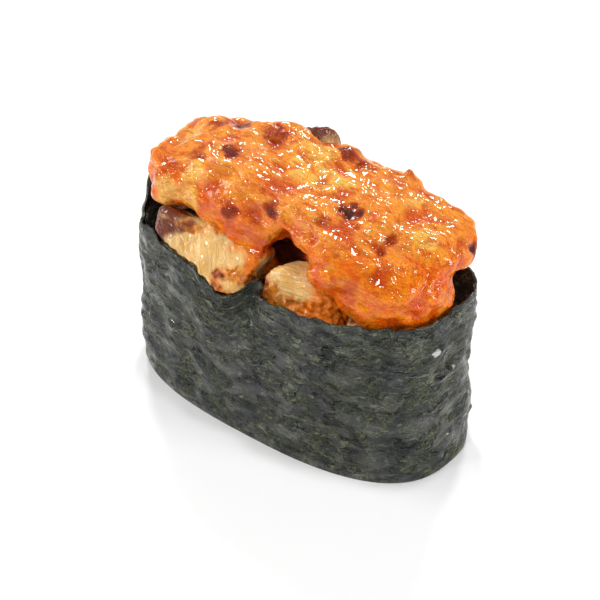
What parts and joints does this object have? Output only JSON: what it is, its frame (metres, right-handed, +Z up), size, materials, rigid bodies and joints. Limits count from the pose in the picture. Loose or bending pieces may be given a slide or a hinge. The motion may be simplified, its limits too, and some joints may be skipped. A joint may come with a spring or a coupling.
{
  "type": "gunkan sushi",
  "caption": "Gunkan sushi: an upright oval of rice wrapped in a nori strip, with pieces of grilled fish on top under a thick browned baked sauce.",
  "frame": {"origin": "on the surface it stands on, under the middle of the oval that the nori is wound to", "axes": "+Z up; +X along the oval's length, towards the end without the strip's free edge; -Y towards the side where a piece of fish hangs over the rim"},
  "size_m": [0.0605, 0.0312, 0.0437],
  "materials": {
    "nori": "dark green-black with a fibrous satin surface",
    "rice": "moist white grains",
    "fish": "pale tan flakes with glazed brown edges",
    "sauce": "glossy orange, wrinkled by baking, with dark spots"
  },
  "bodies": {
    "root": {"nori": "nori", "rice": "rice", "fish_left": "fish", "fish_middle": "fish", "fish_back": "fish", "fish_scrap": "fish", "baked_sauce": "sauce"}
  },
  "joints": []
}
